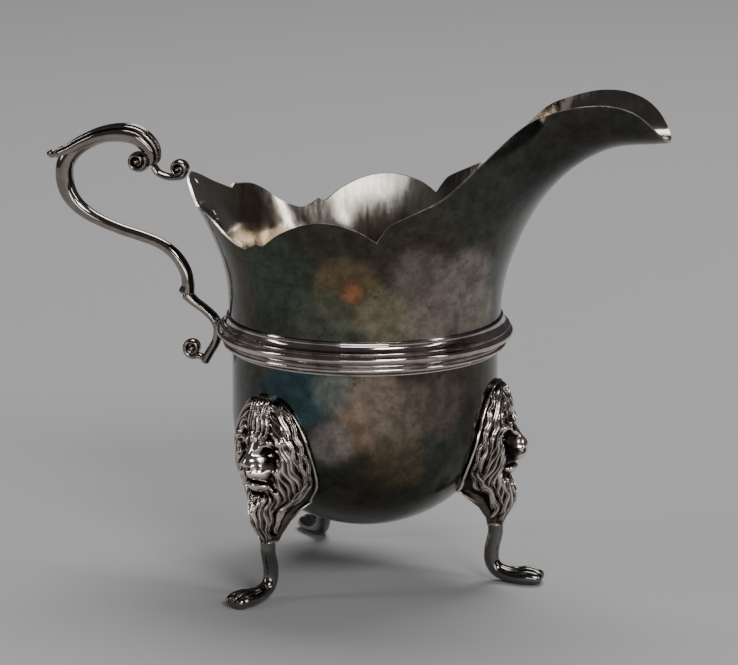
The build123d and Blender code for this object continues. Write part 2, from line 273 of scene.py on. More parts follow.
# %% helper: building a finish from nodes
class Finish:
    """A small builder for a metal finish: every call adds one node and returns its useful output."""

    def __init__(self, name):
        self.material = bpy.data.materials.new(name)
        self.material.use_nodes = True
        self.tree = self.material.node_tree
        self.shader = self.tree.nodes["Principled BSDF"]
        self.place = self.add("ShaderNodeTexCoord").outputs["Object"]

    def add(self, kind, inputs=None, **settings):
        node = self.tree.nodes.new(kind)
        for key, value in settings.items():
            setattr(node, key, value)
        for key, value in (inputs or {}).items():
            self.plug(node.inputs[key], value)
        return node

    def plug(self, socket, value):
        if isinstance(value, bpy.types.NodeSocket):
            self.tree.links.new(value, socket)
        else:
            socket.default_value = value

    def noise(self, scale, detail, roughness=0.6, stretch=None, distortion=0.0):
        place = self.place
        if stretch:
            place = self.add("ShaderNodeMapping", {"Vector": place, "Scale": stretch}).outputs[0]
        node = self.add("ShaderNodeTexNoise", {"Vector": place, "Scale": scale, "Detail": detail,
                                               "Roughness": roughness, "Distortion": distortion})
        return node.outputs["Fac"]

    def ramp(self, value, *stops):
        """A colour ramp. A stop is a place and a colour."""
        node = self.add("ShaderNodeValToRGB", {"Fac": value})
        elements = node.color_ramp.elements
        while len(elements) < len(stops):
            elements.new(0.5)
        for element, (place, colour) in zip(elements, stops):
            element.position = place
            element.color = (*colour, 1)
        return node.outputs["Color"]

    def span(self, value, low, high, to_low=0.0, to_high=1.0):
        node = self.add("ShaderNodeMapRange", {"Value": value, "From Min": low, "From Max": high,
                                               "To Min": to_low, "To Max": to_high},
                        interpolation_type="SMOOTHSTEP")
        return node.outputs["Result"]

    def maths(self, operation, a, b):
        return self.add("ShaderNodeMath", {0: a, 1: b}, operation=operation).outputs[0]

    def plus(self, a, b):
        return self.maths("ADD", a, b)

    def times(self, a, b):
        return self.maths("MULTIPLY", a, b)

    def mix(self, share, a, b, blend="MIX"):
        """Blends two colours. Inputs 6 and 7 and output 2 are the node's sockets for colours."""
        colours = [(*value, 1) if isinstance(value, tuple) else value for value in (a, b)]
        node = self.add("ShaderNodeMix", data_type="RGBA", blend_type=blend)
        for socket, value in zip((0, 6, 7), (share, *colours)):
            self.plug(node.inputs[socket], value)
        return node.outputs[2]

    def patch(self, centre, radius):
        """1 near a place in millimetres and 0 beyond the radius, with a ragged edge."""
        ragged, grain = 0.35, 90
        point = tuple(c * MM for c in centre)
        away = self.add("ShaderNodeVectorMath", {0: self.place, 1: point}, operation="DISTANCE").outputs["Value"]
        wander = self.times(self.noise(grain, 6), 2 * ragged * radius * MM)
        return self.span(self.plus(away, wander), radius * MM, (1 + 1.6 * ragged) * radius * MM, 1, 0)

    def bumps(self, *layers):
        """Chains bump nodes. A layer is a height, a strength and a depth in millimetres."""
        normal = None
        for height, strength, depth in layers:
            inputs = {"Height": height, "Strength": strength, "Distance": depth * MM}
            if normal:
                inputs["Normal"] = normal
            normal = self.add("ShaderNodeBump", inputs).outputs["Normal"]
        return normal

    def finish(self, colour, roughness, normal):
        values = {"Base Color": colour, "Roughness": roughness, "Normal": normal, "Metallic": 1.0}
        for name, value in values.items():
            self.plug(self.shader.inputs[name], value)
        return self.material


# %% [markdown]
# ### Tarnish on the outside of the body
# The raised sheet has gone nearly black, with blue-green and olive clouds, dull mauve bloom where a thicker
# tarnish lies, and one small red-brown spot on the right side. Each cloud has its own place on the body.

# %% clouds of tarnish
CLOUDS = (
    # centre and radius in millimetres, colour, strength
    ((-24, -24, 84), 9, (0.040, 0.030, 0.017), 0.60),
    ((-14, -31, 82), 11, (0.048, 0.064, 0.050), 0.80),
    ((3, -34, 79), 9, (0.150, 0.110, 0.055), 0.75),
    ((-3, -34, 72), 9, (0.090, 0.105, 0.075), 0.75),
    ((13, -32, 73), 8, (0.200, 0.180, 0.120), 0.80),
    ((-9, -32, 54), 11, (0.032, 0.070, 0.082), 0.85),
    ((-18, -28, 47), 11, (0.024, 0.040, 0.046), 0.80),
    ((0, -34, 54), 6, (0.200, 0.220, 0.185), 0.65),
    ((6, -33, 46), 7, (0.250, 0.170, 0.120), 0.70),
    ((10, -32, 53), 7, (0.270, 0.200, 0.155), 0.80),
    ((-1, -34, 42), 6, (0.220, 0.200, 0.185), 0.60),
    ((4.8, -33.5, 79.5), 2.8, (0.300, 0.125, 0.060), 0.75),
    ((20, -28, 84), 8, (0.165, 0.135, 0.118), 0.80),
    ((29, -19, 82), 9, (0.215, 0.180, 0.165), 0.80),
    ((31, -14, 72), 8, (0.250, 0.220, 0.185), 0.70),
    ((22, -26, 72), 8, (0.240, 0.190, 0.165), 0.75),
    ((16, -30, 49), 9, (0.170, 0.138, 0.105), 0.75),
    ((24, -23, 50), 8, (0.125, 0.092, 0.078), 0.70),
    ((15, -29, 37), 8, (0.110, 0.086, 0.055), 0.70),
    ((31, -12, 44), 8, (0.028, 0.025, 0.023), 0.80),
    ((-31, -13, 56), 9, (0.010, 0.013, 0.015), 0.80),
    ((60, -12, 106), 20, (0.024, 0.024, 0.023), 0.80),
    ((30, 12, 70), 14, (0.150, 0.125, 0.110), 0.60),
    ((-30, 14, 86), 13, (0.110, 0.088, 0.064), 0.60),
    ((6, 33, 80), 13, (0.040, 0.062, 0.058), 0.75),
    ((16, 31, 72), 8, (0.130, 0.105, 0.060), 0.60),
    ((-12, 31, 48), 10, (0.130, 0.092, 0.050), 0.60),
    ((20, 27, 44), 11, (0.140, 0.115, 0.105), 0.75),
    ((-32, -6, 50), 10, (0.030, 0.052, 0.060), 0.70),
)


# %% tarnished body
def body_tarnish():
    f = Finish("tarnished_body")
    clouds = f.noise(38, 5, distortion=0.5)
    colour = f.ramp(clouds, (0.32, (0.034, 0.032, 0.026)), (0.45, (0.040, 0.046, 0.040)),
                    (0.55, (0.056, 0.050, 0.036)), (0.66, (0.040, 0.033, 0.026)), (0.78, (0.050, 0.052, 0.046)))
    for centre, radius, tint, strength in CLOUDS:
        colour = f.mix(f.times(f.patch(centre, radius), strength), colour, tint)
    mottle = f.span(f.noise(300, 7, 0.68), 0.36, 0.66, 0.90, 1.60)
    specks = f.span(f.noise(750, 4), 0.61, 0.68)
    colour = f.mix(f.times(specks, 0.45), f.mix(1.0, colour, mottle, "MULTIPLY"), (0.020, 0.016, 0.012))
    bloom = f.maths("MAXIMUM", f.patch((22, -26, 44), 16), f.patch((26, -22, 78), 14))
    roughness = f.plus(f.span(f.noise(70, 6), 0.3, 0.7, 0.12, 0.22), f.times(bloom, 0.12))
    normal = f.bumps((f.noise(24, 2, 0.4), 0.25, 0.5), (f.noise(1500, 4), 0.08, 0.04))
    f.shader.inputs["Coat Weight"].default_value = 0.18
    f.shader.inputs["Coat Roughness"].default_value = 0.08
    return f.finish(colour, roughness, normal)


# %% [markdown]
# ### Inside of the body
# The inside was wiped with a cloth more often, up and down, so it is brighter, browner and finely scratched
# along the wall. A warm, rougher painted highlight sits low at the back, and painted shade darkens the spout
# and the wall behind the far scallop.

# %% brushed inside
def inside_brushed():
    f = Finish("brushed_inside")
    clouds = f.noise(45, 5, distortion=0.5)
    colour = f.ramp(clouds, (0.30, (0.26, 0.20, 0.15)), (0.46, (0.52, 0.46, 0.38)),
                    (0.60, (0.66, 0.61, 0.54)), (0.75, (0.36, 0.29, 0.21)))
    # painted highlight: a warm bright patch low on the back wall stands in for a reflected light
    painted_glow = f.patch((-24, 20, 80), 6)
    colour = f.mix(f.times(painted_glow, 0.9), colour, (0.95, 0.72, 0.46))
    # painted shade: darkens the inside of the spout
    colour = f.mix(f.times(f.patch((58, 0, 116), 30), 0.6), colour, (0.20, 0.165, 0.13))
    # painted shade: darkens the inside of the far wall behind the scallop
    colour = f.mix(f.times(f.patch((22, 30, 96), 13), 0.8), colour, (0.13, 0.105, 0.08))
    brush = f.noise(60, 5, 0.7, stretch=(14, 14, 0.9))
    roughness = f.plus(f.span(brush, 0.3, 0.7, 0.10, 0.20), f.times(painted_glow, 0.3))
    normal = f.bumps((f.noise(26, 2, 0.4), 0.25, 0.5), (brush, 0.05, 0.03))
    return f.finish(colour, roughness, normal)


# %% [markdown]
# ### Polished and cast silver
# The moulding is still bright. On the castings the ridges are rubbed bright and the hollows are black. An
# attribute of the mesh says how deep each point lies, so that the oxide sits exactly in the chased lines.

# %% bright moulding, and castings with dark hollows
def polished_edge(name, bright, dull, low, high):
    """Bright silver with dull places. low and high are the ends of its roughness."""
    f = Finish(name)
    colour = f.ramp(f.noise(90, 6, 0.65), (0.32, dull), (0.52, bright), (0.75, bright))
    roughness = f.span(f.noise(300, 5), 0.3, 0.7, low, high)
    normal = f.bumps((f.noise(120, 3, 0.5), 0.10, 0.2), (f.noise(2200, 4), 0.06, 0.04))
    return f.finish(colour, roughness, normal)


def cast_silver(name, ridge, flat, hollow, low, high):
    """Cast silver with a colour for its ridges, its flats and its hollows."""
    f = Finish(name)
    depth = f.add("ShaderNodeAttribute", attribute_name="hollow").outputs["Fac"]
    ragged = f.plus(depth, f.span(f.noise(500, 5), 0.2, 0.8, -0.10, 0.10))
    colour = f.ramp(ragged, (0.18, ridge), (0.50, flat), (0.78, hollow))
    tone = f.span(f.noise(130, 5), 0.3, 0.7, 0.75, 1.15)
    roughness = f.plus(f.span(ragged, 0.2, 0.8, low, high + 0.12), f.span(f.noise(700, 4), 0.3, 0.7, -0.03, 0.05))
    normal = f.bumps((f.noise(1300, 5), 0.14, 0.06))
    return f.finish(f.mix(1.0, colour, tone, "MULTIPLY"), roughness, normal)


silver_body = body_tarnish()
silver_inside = inside_brushed()
silver_rim = polished_edge("bright_rim", (0.85, 0.77, 0.73), (0.50, 0.42, 0.37), 0.2, 0.35)
silver_moulding = polished_edge("bright_moulding", (0.62, 0.55, 0.52), (0.26, 0.21, 0.19), 0.06, 0.15)
silver_mask = cast_silver("cast_mask", (0.88, 0.78, 0.71), (0.25, 0.21, 0.18), (0.014, 0.011, 0.009), 0.10, 0.18)
silver_leg = cast_silver("cast_leg", (0.20, 0.19, 0.175), (0.11, 0.105, 0.097), (0.015, 0.013, 0.011), 0.10, 0.2)
silver_handle = cast_silver("cast_handle", (0.34, 0.30, 0.27), (0.15, 0.125, 0.11), (0.012, 0.010, 0.009),
                            0.08, 0.16)
print("finishes:", ", ".join(m.name for m in bpy.data.materials if m.users == 0))

# %% [markdown]
# ## Camera, floor and light
# The jug stands on a plain pale table. The camera looks from a little right of its side and slightly down, with
# a long lens. Silver shows only what it mirrors, so the light is five soft panels in a dim room: a large one
# overhead, a key light at the front right, a tall weak one on each side, and a low wide one in front, which the
# far wall mirrors over the near rim.

# %% camera
AZIMUTH, ELEVATION = radians(12.9), radians(12.6)
CAMERA_DISTANCE = 0.87
TARGET_HEIGHT, TARGET_SHIFT = 62.3, 1.02   # where the camera points, in millimetres
SENSOR_WIDTH, FOCAL_LENGTH = 36.0, 169.7561
look_back = Vector((sin(AZIMUTH) * cos(ELEVATION), -cos(AZIMUTH) * cos(ELEVATION), sin(ELEVATION)))
look_right = Vector((cos(AZIMUTH), sin(AZIMUTH), 0))
target = Vector((0, 0, TARGET_HEIGHT * MM)) + look_right * TARGET_SHIFT * MM
start_clean()
bpy.ops.object.camera_add(location=target + look_back * CAMERA_DISTANCE)
camera = bpy.context.object
camera.rotation_euler = look_back.to_track_quat("Z", "Y").to_euler()
camera.data.sensor_width = SENSOR_WIDTH
camera.data.lens = FOCAL_LENGTH
camera.data.clip_start, camera.data.clip_end = 0.01, 100
scene.camera = camera
print("camera at", tuple(round(c, 3) for c in camera.location))

# %% floor
bpy.ops.mesh.primitive_plane_add(size=40, location=(0, 0, 0))
floor = bpy.context.object
floor.name = "table_top"
paper = bpy.data.materials.new("pale_paper")
paper.use_nodes = True
paper.node_tree.nodes["Principled BSDF"].inputs["Base Color"].default_value = (0.38, 0.38, 0.385, 1)
paper.node_tree.nodes["Principled BSDF"].inputs["Roughness"].default_value = 0.9
floor.data.materials.append(paper)
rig.stage(floor)


# %% light panels and room
def light_panel(name, place, aim, size, power, colour):
    """A rectangular soft light, aimed at a point. Places and sizes are in metres, its power in watts."""
    bpy.ops.object.light_add(type="AREA", location=place)
    lamp = bpy.context.object
    lamp.name = name
    lamp.rotation_euler = (Vector(place) - Vector(aim)).to_track_quat("Z", "Y").to_euler()
    lamp.data.shape = "RECTANGLE"
    lamp.data.size, lamp.data.size_y = size
    lamp.data.energy = power
    lamp.data.color = colour


light_panel("panel_overhead", (0.15, 0.75, 1.8), (0, 0.2, 0), (1.2, 1.0), 30, (1.0, 0.98, 0.97))
light_panel("panel_key", (0.85, -1.25, 1.15), (0, 0, 0.05), (0.6, 0.5), 15, (1.0, 0.99, 0.97))
light_panel("panel_left", (-1.5, -0.6, 0.8), (0, 0, 0.07), (0.25, 0.9), 5, (1.0, 0.96, 0.94))
light_panel("panel_right", (1.5, -0.4, 0.8), (0, 0, 0.07), (0.2, 0.9), 4, (0.96, 0.98, 1.0))
light_panel("panel_front", (0.42, -1.85, 0.30), (0, 0, 0.08), (1.3, 0.34), 6, (0.97, 1.0, 0.98))
room = bpy.data.worlds.new("dim_room")
room.use_nodes = True
room.node_tree.nodes["Background"].inputs["Color"].default_value = (0.24, 0.24, 0.25, 1)
room.node_tree.nodes["Background"].inputs["Strength"].default_value = 0.28
scene.world = room

# %% [markdown]
# ## Bowl
# The bowl is a round-bottomed cup, spun or raised from one disc. Half of its outline is drawn from the middle of
# the bottom to the top of the lap, and the spin tool sweeps it round the axis. Solidify then gives the sheet
# its thickness inwards.

# %% helper: spin an outline round the axis
def spun_piece(name, outline, steps):
    """Draws the outline by extruding one corner of a plane from point to point, then spins it."""
    start_clean()
    bpy.ops.mesh.primitive_plane_add(size=MM, location=(0, 0, 0))
    piece = bpy.context.object
    piece.name = name
    piece.data.name = name
    bpy.ops.object.mode_set(mode="EDIT")
    bpy.ops.mesh.merge(type="CENTER")
    bpy.ops.transform.translate(value=(outline[0][0] * MM, 0, outline[0][1] * MM))
    for (r0, z0), (r1, z1) in zip(outline, outline[1:]):
        step = ((r1 - r0) * MM, 0, (z1 - z0) * MM)
        bpy.ops.mesh.extrude_vertices_move(TRANSFORM_OT_translate={"value": step})
    bpy.ops.mesh.select_all(action="SELECT")
    bpy.ops.mesh.spin(steps=steps, angle=2 * pi, center=(0, 0, 0), axis=(0, 0, 1))
    bpy.ops.object.mode_set(mode="OBJECT")
    close_seams(piece, 0.01)
    return piece


# %% bowl
ROUND_STEPS, WALL_STEPS = 40, 14
BOWL_SPIN_STEPS, GIRDLE_SPIN_STEPS = 192, 240
bowl_outline = [(0.0, BOWL_BOTTOM)]
for step in range(1, ROUND_STEPS + 1):
    turn = pi / 2 * step / ROUND_STEPS
    bowl_outline.append((BOWL_RADIUS * sin(turn), SHOULDER - ROUND_DEPTH * cos(turn)))
for step in range(1, WALL_STEPS + 1):
    bowl_outline.append((BOWL_RADIUS, SHOULDER + (LAP_HIGH - SHOULDER) * step / WALL_STEPS))
bowl = spun_piece("bowl_sheet", bowl_outline, BOWL_SPIN_STEPS)
add_modifier(bowl, "SOLIDIFY", thickness=SHEET * MM, offset=-1, use_even_offset=True, material_offset=1,
             material_offset_rim=1)
shade(bowl)
hand_over(bowl, "bowl", "body_silver", silver_body, silver_inside)

# %% [markdown]
# ## Upper body and spout
# Above the seam the sheet is round at the back and is drawn forward into the long spout. Its sections stand like
# the sticks of a fan in front of the body. Each one is half a circle below and half an oval above. The sheet is
# cut to a wavy rim with sharp cusps. Columns of the grid start at the seam and end on the rim, evenly spaced at
# both ends, so that every cusp is crisp.

# %% sections of the upper body
ROUND = 0.5523   # pull of a curve that makes it a quarter circle
FULL = 0.09      # what the back of the oval is fuller than that
SPOUT_RISE, SPOUT_DROP = 2.9, 1.4
SPOUT_HALF_WIDTH, LIP_HALF_WIDTH = 15.0, 11.0
BACK_FLARE, SIDE_FLARE = 12.4, 3.2


def fan_section(fan):
    """Front and back distance from the bend line, half width and fullness at a fan angle in degrees."""
    front = BEND_RADIUS + SPOUT_RISE * soft_step(fan, 20, 68) - SPOUT_DROP * soft_step(fan, 68, 84)
    channel = SPOUT_HALF_WIDTH - (SPOUT_HALF_WIDTH - LIP_HALF_WIDTH) * soft_step(fan, 66, 84)
    widened = UPPER_RADIUS + SIDE_FLARE * soft_step(fan, 4, 30)
    half_width = widened - (widened - channel) * soft_step(fan, 34.5, 62)
    steep = np.clip(fan, 0, 24)
    back = (BEND_X + UPPER_RADIUS + BACK_FLARE * (steep / 16) ** 2.6) / np.cos(np.radians(steep))
    return front, half_width, back, ROUND + FULL * soft_step(fan, 3, 15)


def quarter_oval(t, fullness):
    """How far across and how far forward a quarter oval is, from its flank at 0 to its tip at 1."""
    across = (1 - t) ** 3 + 3 * t * (1 - t) ** 2 + 3 * t**2 * (1 - t) * fullness
    forward = 3 * t * (1 - t) ** 2 * fullness + 3 * t**2 * (1 - t) + t**3
    return across, forward


def wall_points(round_angle, fan, inset=0.0):
    """Points of the wall. round_angle runs from 0 under the spout to 180 at the back, fan up from the seam."""
    lifted = np.maximum(fan, 0)
    front, half_width, back, fullness = fan_section(lifted)
    ahead = round_angle < 90
    share = np.where(ahead, 1 - round_angle / 90, round_angle / 90 - 1)
    across, forward = quarter_oval(share, np.where(ahead, ROUND, fullness))
    reach = np.where(ahead, -forward * (half_width - inset), forward * (back - front - half_width - inset))
    distance = front + half_width + reach
    tilt = np.radians(lifted)
    x = BEND_X - distance * np.cos(tilt)
    z = BEND_Z + distance * np.sin(tilt) + np.minimum(fan, 0)
    return np.stack([x, across * (half_width - inset), z], -1)


# %% the rim, from the back over the side scallop to the lip
def behind(reach, rise):
    return (-UPPER_RADIUS - reach, GIRDLE_LOW + rise)


def ahead(reach, rise):
    return (UPPER_RADIUS + reach, GIRDLE_LOW + rise)


SCALLOP_RISE = 5.6
rim_dip, rim_cusp = behind(-16.2, 30.7), ahead(-23.0, 33.1)
scallop = []
for step in range(9):
    t = step / 8
    scallop.append((rim_dip[0] + (rim_cusp[0] - rim_dip[0]) * t,
                    rim_dip[1] + (rim_cusp[1] - rim_dip[1]) * t + SCALLOP_RISE * sin(pi * t) ** 0.8))
rim_lines = [
    [behind(12.2, 43.3), behind(10.0, 40.7), behind(7.9, 38.5), behind(4.9, 36.0)],
    [behind(4.9, 36.0), behind(4.6, 36.9)],
    [behind(4.6, 36.9), behind(2.9, 36.5), behind(0.9, 36.0), behind(-1.8, 34.3), behind(-5.3, 31.4),
     behind(-10.5, 29.1), behind(-14.4, 31.1)],
    [behind(-14.4, 31.1), behind(-15.3, 30.6), rim_dip],
    scallop,
    [rim_cusp, ahead(-21.2, 35.8), ahead(-19.3, 37.7), ahead(-13.5, 40.5), ahead(-7.4, 43.7), ahead(0.2, 50.8),
     ahead(7.2, 57.9), ahead(11.0, 60.7), ahead(15.1, 62.4), ahead(20.3, 63.9), ahead(25.0, 64.5),
     ahead(29.5, 64.3), ahead(34.2, 62.8), ahead(37.65, 60.1), ahead(40.15, 56.8), ahead(41.45, 54.8),
     ahead(42.05, 54.2)],
]


def on_wall(point):
    """Round angle and fan angle of a rim point in the side view."""
    x, z = point
    fan = degrees(atan2(z - BEND_Z, BEND_X - x))
    front, half_width, back, fullness = fan_section(fan)
    distance = hypot(x - BEND_X, z - BEND_Z)
    below = distance < front + half_width
    if below:
        wanted, fullness = (front + half_width - distance) / half_width, ROUND
    else:
        wanted = (distance - front - half_width) / (back - front - half_width)
    low, high = 0.0, 1.0
    for _ in range(40):
        middle = (low + high) / 2
        if quarter_oval(middle, fullness)[1] < min(1, wanted):
            low = middle
        else:
            high = middle
    return (90 - 90 * low if below else 90 + 90 * low), fan


RIM_STEP = 0.9   # spacing of the columns along the rim
rim_places = []
for line in rim_lines:
    dense = smooth_line(line, 30)
    places = np.array([on_wall(p) for p in dense])
    ends = wall_points(places[:, 0], places[:, 1])
    run = np.concatenate([[0], np.cumsum(np.linalg.norm(np.diff(ends, axis=0), axis=1))])
    count = max(2, int(round(run[-1] / RIM_STEP)))
    even = np.linspace(0, run[-1], count + 1)
    places = np.stack([np.interp(even, run, places[:, i]) for i in (0, 1)], 1)
    rim_places.append(places if line is rim_lines[-1] else places[:-1])
spout_columns = len(rim_places[-1])
rim_places = np.concatenate(rim_places)
rim_places[0, 0], rim_places[-1, 0] = 180, 0
print(len(rim_places), "columns on one side")

# %% the grid between seam and rim
FAN_ROWS, COLLAR_ROWS = 90, 7
COLLAR_LOW = GIRDLE_LOW + 1.4 - BEND_Z
cusp_at = len(rim_places) - spout_columns
seam_angle = rim_places[:, 0].copy()
seam_angle[cusp_at:] = seam_angle[cusp_at] * (1 - np.linspace(0, 1, spout_columns)) ** 1.25
up = np.concatenate([np.linspace(COLLAR_LOW, 0, COLLAR_ROWS + 1)[:-1], np.zeros(FAN_ROWS)])
share = np.concatenate([np.zeros(COLLAR_ROWS), np.linspace(0, 1, FAN_ROWS)])[:, None]
fan_grid = np.where(share > 0, share * rim_places[None, :, 1], up[:, None])
round_grid = seam_angle + (rim_places[:, 0] - seam_angle) * share**3


def whole_round(half):
    """Both sides of the body from one side, with the first column repeated at the end."""
    return np.concatenate([half, half[:, ::-1][:, 1:-1] * (1, -1, 1), half[:, :1]], 1)


outer = whole_round(wall_points(round_grid, fan_grid))
inner = whole_round(wall_points(round_grid, fan_grid, SHEET))
# the hammer leaves very shallow dents, the same on both faces of the sheet
dents = np.array([[noise.noise(Vector(p) * 0.055) * 0.10 + noise.noise(Vector(p) * 0.13) * 0.03 for p in row]
                  for row in outer])
inward = inner - outer
inward /= np.maximum(1e-6, np.linalg.norm(inward, axis=2, keepdims=True))
fade = soft_step(outer[:, :, 2], GIRDLE_LOW + 9, GIRDLE_LOW + 20)
push = (np.clip(0.06 + dents, 0, 1) * fade)[:, :, None] * inward
outer, inner = outer + push, inner + push
edge_rows = [(outer * (1 - across) + inner * across)[-1:] for across in (0.3, 0.7)]
body_grid = np.concatenate([outer, *edge_rows, inner[::-1], outer[:1]])
print("body grid", body_grid.shape)

# %% upper body
body = grid_piece("upper_body_sheet", body_grid)
wall_rows, columns = len(outer) - 1, outer.shape[1] - 1
kinds = np.repeat([0] * wall_rows + [2] * (len(edge_rows) + 1) + [1] * (wall_rows + 1), columns)
for material in (silver_body, silver_inside, silver_rim):
    body.data.materials.append(material)
body.data.polygons.foreach_set("material_index", kinds)
close_seams(body)
shade(body, 45)
hand_over(body, "upper_body", "body_silver")

# %% [markdown]
# ## Girdle moulding
# A drawn wire of silver with a bead, a reed below it and a sharp edge above it covers the seam. Its outline is
# made of short bulges, spun round the axis like the bowl. A point is how far it stands out from the bore, and its
# height over the lower edge.

# %% girdle moulding
def arc(start, peak, end, steps=10):
    """A bulge from start over peak to end."""
    bend = 2 * np.array(peak) - (np.array(start) + np.array(end)) / 2
    return [tuple((1 - t) ** 2 * np.array(start) + 2 * t * (1 - t) * bend + t**2 * np.array(end))
            for t in np.linspace(0, 1, steps + 1)]


girdle_shape = (
    arc((-0.2, 0.2), (1.45, 1.3), (0.85, 2.3)) + arc((0.9, 2.35), (3.05, 4.1), (1.9, 5.6), 18)[1:]
    + arc((1.95, 5.65), (2.3, 5.85), (2.1, 6.1), 6)[1:] + arc((2.1, 6.1), (1.0, 6.8), (0.7, 8.0))[1:]
    + [(0.55, 8.4), (0.0, 8.4), (-0.4, 7.0), (-0.4, 0.0), (-0.2, 0.0), (-0.2, 0.2)]
)
GIRDLE_BORE = UPPER_RADIUS + 0.05
girdle_outline = [(GIRDLE_BORE + stand_out, GIRDLE_LOW + height) for stand_out, height in girdle_shape]
girdle = spun_piece("girdle_wire", girdle_outline, GIRDLE_SPIN_STEPS)
shade(girdle, 35)
hand_over(girdle, "girdle_moulding", "moulding_silver", silver_moulding)

# %% [markdown]
# ## Bars, scrolls and leaf of the handle
# The handle is cast in two pieces from a carved pattern: an S-shaped bar, and a leaf with ribs that lies over its
# crest and rolls under in a small volute. A slim bracket, a curl under it and a curl at the rim join it to the
# body. All of them are bars with an oval section that follow a line, so one helper sweeps them all. It can also
# press flutes into the section, and it notes how deep each point lies.

# %% helper: sweep an oval section along a line
def hollow_attribute(piece, values):
    """Stores how deep each point lies, 0 on a ridge and 1 in a hollow, for the cast finishes."""
    attribute = piece.data.attributes.new("hollow", "FLOAT", "POINT")
    attribute.data.foreach_set("value", np.clip(values, 0, 1).astype(np.float32).ravel())


CAP_RINGS = ((0.75, 0.6), (0.35, 0.95), (0.0, 1.0))   # size of each ring of an end cap, and how far it bulges


def swept_grid(stations, sides, steps, press=None):
    """Rings round a line in the plane of the handle, closed to a point at both ends.

    A station is x, z, half thickness and half width. press(t, turn) gives how far the skin is pushed in.
    """
    line = smooth_line(stations, steps)
    along = np.gradient(line[:, :2], axis=0)
    along /= np.linalg.norm(along, axis=1, keepdims=True)
    turn = np.linspace(0, 2 * pi, sides + 1)
    t = np.linspace(0, 1, len(line))
    pushed = press(t[:, None], turn[None, :]) if press else np.zeros((len(line), sides + 1))
    out = line[:, 2:3] * np.cos(turn) - pushed * np.cos(turn)
    wide = line[:, 3:4] * np.sin(turn) - pushed * np.sin(turn)
    rings = np.stack([line[:, :1] - along[:, 1:] * out, wide, line[:, 1:2] + along[:, :1] * out], -1)
    caps = []
    for ring, step in ((rings[0], -along[0]), (rings[-1], along[-1])):
        centre = ring[:-1].mean(0)
        bulge = min(np.linalg.norm(ring - centre, axis=1)) * 0.35
        shift = np.array([step[0], 0, step[1]]) * bulge
        caps.append([centre + (ring - centre) * size + shift * out for size, out in CAP_RINGS])
    rings = np.concatenate([np.array(caps[0][::-1]), rings, np.array(caps[1])])
    flat = np.zeros((len(CAP_RINGS), sides + 1))
    return rings, np.concatenate([flat, pushed, flat])


def swept_piece(name, stations, sides=28, steps=6, press=None, deepest=0.4):
    rings, hollow = swept_grid(stations, sides, steps, press)
    piece = grid_piece(name, rings)
    hollow_attribute(piece, hollow / deepest)
    close_seams(piece)
    shade(piece, 60)
    return piece


def joined(name, *pieces):
    """Joins pieces into the first one."""
    start_clean()
    for piece in pieces:
        piece.select_set(True)
    bpy.context.view_layer.objects.active = pieces[0]
    bpy.ops.object.join()
    pieces[0].name = name
    return pieces[0]


def spiral(eye, radii, angles, count, thick, wide):
    """Stations that wind in round an eye. Every pair gives a start and an end value."""
    stations = []
    for i in range(count):
        radius, angle, half_thick, half_wide = (a + (b - a) * i / (count - 1)
                                                for a, b in (radii, angles, thick, wide))
        stations.append((eye[0] + radius * cos(radians(angle)), eye[1] + radius * sin(radians(angle)),
                         half_thick, half_wide))
    return stations


def boss(name, eye, radius, half_wide):
    """The round button in the middle of a scroll."""
    start_clean()
    bpy.ops.mesh.primitive_uv_sphere_add(segments=32, ring_count=20, radius=MM)
    button = bpy.context.object
    button.name = name
    bpy.ops.object.mode_set(mode="EDIT")
    bpy.ops.transform.resize(value=(radius, half_wide, radius))
    bpy.ops.transform.translate(value=(eye[0] * MM, 0, eye[1] * MM))
    bpy.ops.object.mode_set(mode="OBJECT")
    hollow_attribute(button, np.zeros(len(button.data.vertices)))
    shade(button, 60)
    return button


# %% S-shaped bar
handle_line = [
    (*behind(22.3, 48.4), 1.5, 1.5), (*behind(24.7, 50.4), 1.7, 1.7), (*behind(28.5, 51.2), 1.8, 1.8),
    (*behind(32.9, 50.8), 1.9, 1.9), (*behind(37.3, 49.3), 2.0, 2.0), (*behind(41.2, 46.7), 2.2, 2.2),
    (*behind(43.5, 43.3), 2.3, 2.3), (*behind(43.8, 39.2), 2.3, 2.3), (*behind(42.6, 35.2), 2.1, 2.1),
    (*behind(39.6, 31.8), 1.8, 1.8), (*behind(35.0, 29.1), 1.5, 1.5), (*behind(29.2, 26.9), 1.4, 1.4),
    (*behind(23.2, 25.2), 1.4, 1.4), (*behind(18.4, 23.4), 1.4, 1.4), (*behind(14.8, 20.6), 1.5, 1.6),
    (*behind(12.5, 17.0), 1.55, 1.75), (*behind(11.8, 13.6), 1.65, 1.95), (*behind(12.2, 11.4), 2.1, 2.1),
]
bar = swept_piece("handle_bar", handle_line, 32)
hand_over(bar, "handle_scroll", "handle_silver", silver_handle)

# %% leaf over the crest
leaf_line = [
    (*behind(48.3, 45.5), 0.5, 0.5), (*behind(47.2, 45.5), 1.05, 1.1), (*behind(46.0, 45.6), 0.95, 1.2),
    (*behind(44.9, 45.8), 1.5, 1.9), (*behind(42.2, 46.9), 1.7, 2.6), (*behind(38.6, 48.9), 1.9, 3.0),
    (*behind(34.0, 50.8), 2.1, 3.4), (*behind(29.0, 51.6), 2.4, 3.4), (*behind(24.6, 51.0), 2.5, 3.4),
    (*behind(21.4, 48.5), 2.3, 3.2), (*behind(20.2, 45.8), 1.7, 2.9), (*behind(20.6, 43.9), 0.9, 2.5),
]


def leaf_flutes(t, turn):
    """Four ribs with sharp valleys on the outer side, dying out at the tail and in the roll."""
    outer_side = soft_step(np.cos(turn), -0.35, 0.15)
    across = np.abs(np.sin(turn))
    valley = sum(depth * np.exp(-((across - place) / half) ** 2)
                 for depth, place, half in ((1, 0.36, 0.085), (1, 0.80, 0.09), (0.9, 0, 0.07)))
    return 0.42 * valley * outer_side * soft_step(t, 0.10, 0.32) * (1 - soft_step(t, 0.93, 1.0))


